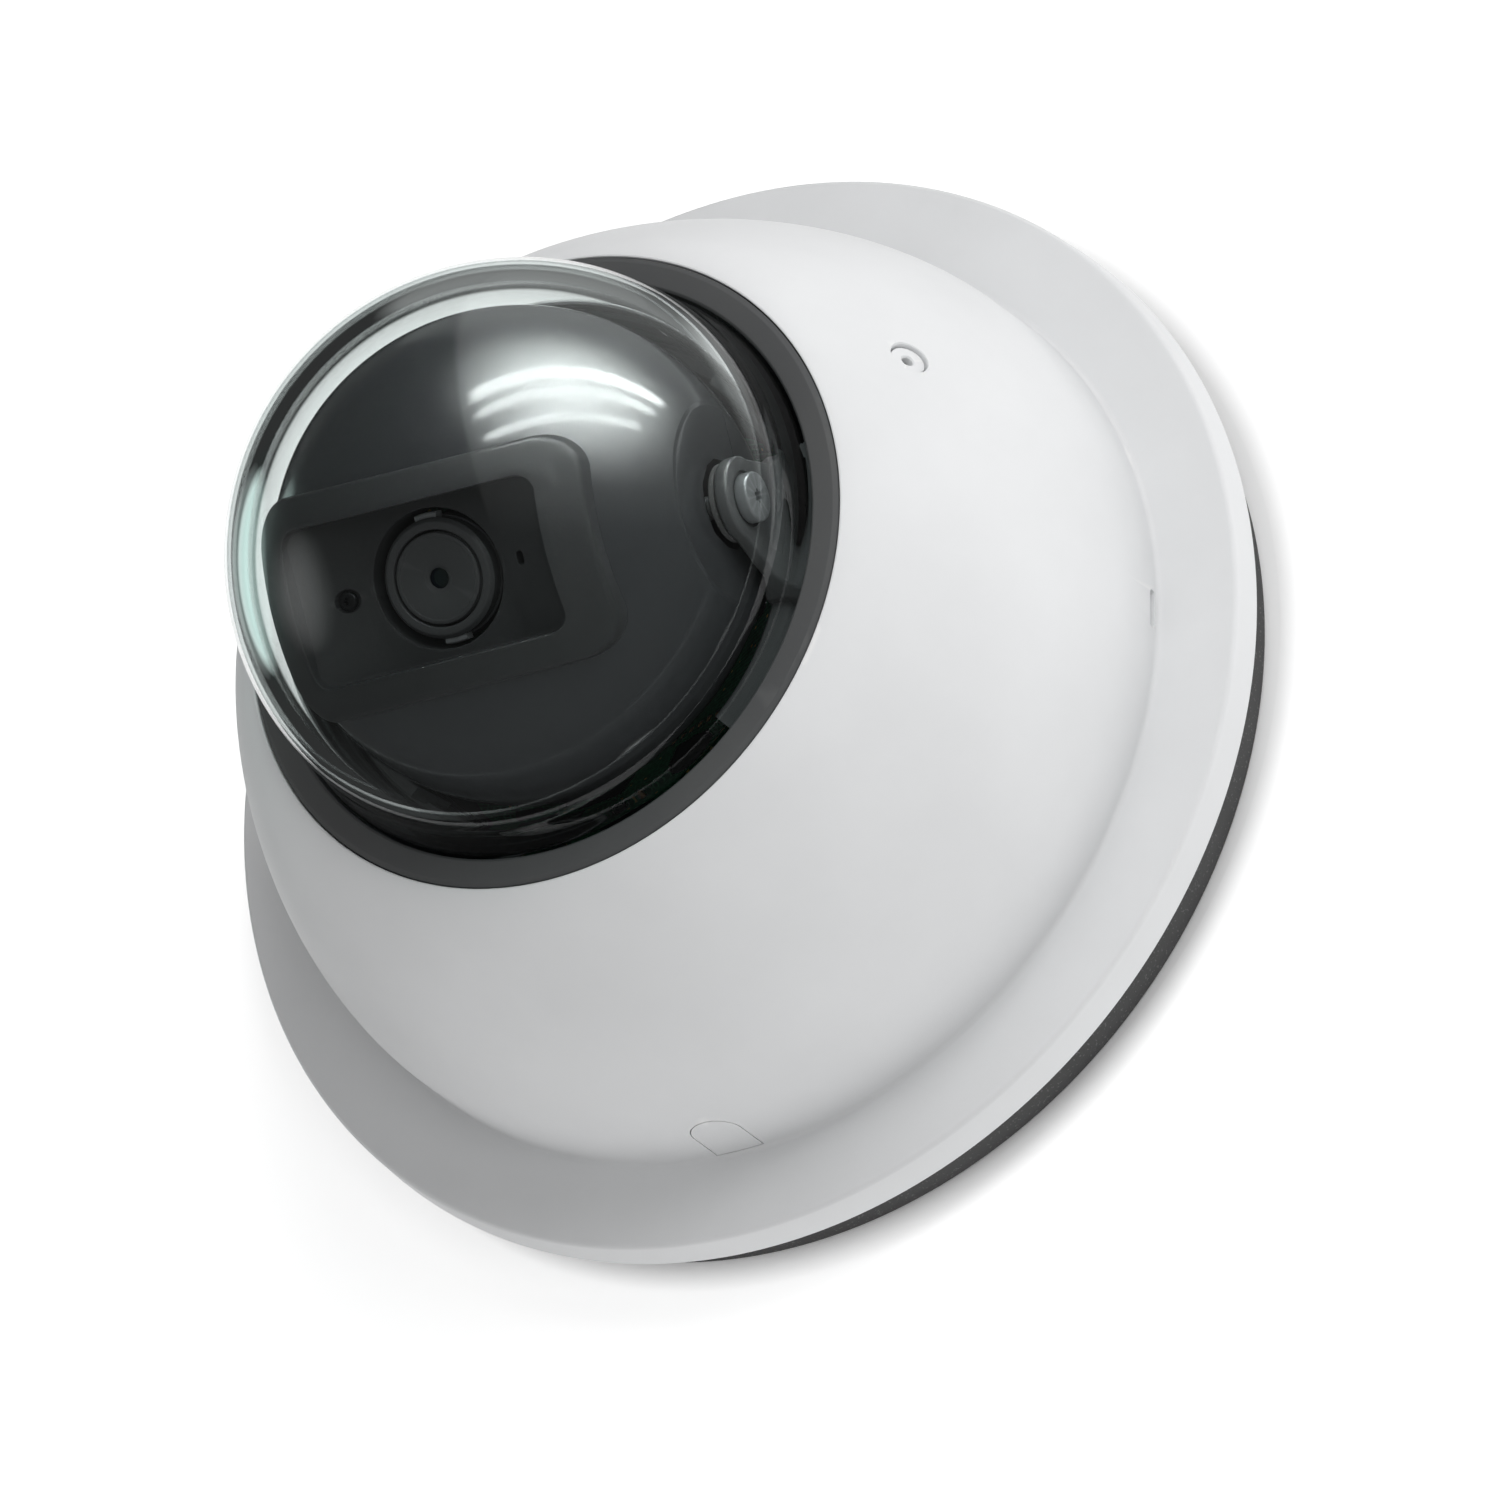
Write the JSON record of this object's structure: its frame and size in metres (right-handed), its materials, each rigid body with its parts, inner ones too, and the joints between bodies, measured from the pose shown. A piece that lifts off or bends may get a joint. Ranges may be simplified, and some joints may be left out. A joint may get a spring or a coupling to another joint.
{
  "type": "dome security camera",
  "caption": "Round wall-mounted dome camera: flanged cover, clear bubble, and a ball-shaped head that pans and tilts behind it.",
  "frame": {"origin": "centre of the mounting face, on the back of the wall gasket", "axes": "+Z out of the wall along the dome's axis, +Y up on the wall, +X to the right when facing the camera's back with +Y up and +Z out of the wall; the head looks out and towards -Y at rest"},
  "size_m": [0.1506, 0.1506, 0.1085],
  "materials": {
    "white_shell": "satin moulded",
    "black_rubber": "matt",
    "dark_trim": "satin",
    "clear_dome": "clear polished",
    "dark_ball": "satin",
    "black_plastic": "matt moulded",
    "lens_black": "matt",
    "steel": "zinc plated",
    "dark_steel": "black oxide",
    "circuit_board": "solder mask",
    "aluminium": "extruded",
    "lens_glass": "coated, polished",
    "ribbon_film": "satin film",
    "thermal_pad": "matt",
    "led_lens": "clear"
  },
  "bodies": {
    "base": {"wall_gasket": "black_rubber", "base_plate": "black_plastic", "cable_grommet": "black_rubber", "cover_seal": "black_rubber", "main_board": "circuit_board", "board_screw_1": "steel", "board_screw_2": "steel", "board_screw_3": "steel", "image_processor": "lens_black", "thermal_pad": "thermal_pad", "heat_sink": "aluminium", "ethernet_jack": "steel", "memory_card_slot": "steel", "reset_switch": "lens_black", "status_led": "led_lens", "head_connector": "black_plastic", "chassis_frame": "black_plastic", "pan_retainer": "black_plastic", "chassis_screw_1": "steel", "chassis_screw_2": "steel", "chassis_screw_3": "steel", "retainer_screw_1": "steel", "retainer_screw_2": "steel", "retainer_screw_3": "steel"},
    "cover": {"cover_shell": "white_shell", "conduit_knockout": "white_shell", "trim_ring": "dark_trim", "dome_bubble": "clear_dome", "bubble_seal": "black_rubber", "bubble_retainer": "black_plastic", "cover_screw_right": "white_shell", "cover_screw_left": "white_shell", "screw_clip_right": "steel", "screw_clip_left": "steel"},
    "pan": {"pan_yoke": "black_plastic", "tilt_screw_right": "dark_steel", "tilt_screw_left": "dark_steel", "head_ribbon": "ribbon_film"},
    "head": {"ball_front": "dark_ball", "ball_rear": "dark_ball", "lens_bezel": "black_plastic", "bezel_screw": "dark_steel", "tilt_washer_right": "black_rubber", "tilt_washer_left": "black_rubber", "sensor_board": "circuit_board", "image_sensor": "lens_black", "lens_holder": "black_plastic", "sensor_screw_1": "steel", "sensor_screw_2": "steel"},
    "lens": {"lens_barrel": "black_plastic", "focus_ring": "black_plastic", "lens_mask": "lens_black", "front_lens": "lens_glass", "rear_lens": "lens_glass"},
    "reset": {"reset_button": "dark_trim"}
  },
  "joints": [
    {"name": "cover_lift", "type": "slide", "parent": "base", "child": "cover", "axis": [0, 0, 1], "range_m": [0, 0.12]},
    {"name": "pan", "type": "hinge", "parent": "base", "child": "pan", "pos_m": [0, 0, 0.045], "axis": [0, 0, 1], "range_deg": [-175, 175]},
    {"name": "tilt", "type": "hinge", "parent": "pan", "child": "head", "pos_m": [0, 0, 0.0695], "axis": [1, 0, 0], "range_deg": [-29, 44]},
    {"name": "focus", "type": "hinge", "parent": "head", "child": "lens", "pos_m": [0, 0, 0.0695], "axis": [0, -0.4848, 0.8746], "range_deg": [-90, 90]},
    {"name": "reset_press", "type": "slide", "parent": "base", "child": "reset", "axis": [0, 0, -1], "range_m": [0, 0.0005], "stiffness_N_per_m": 400, "springref_m": -0.0012}
  ]
}
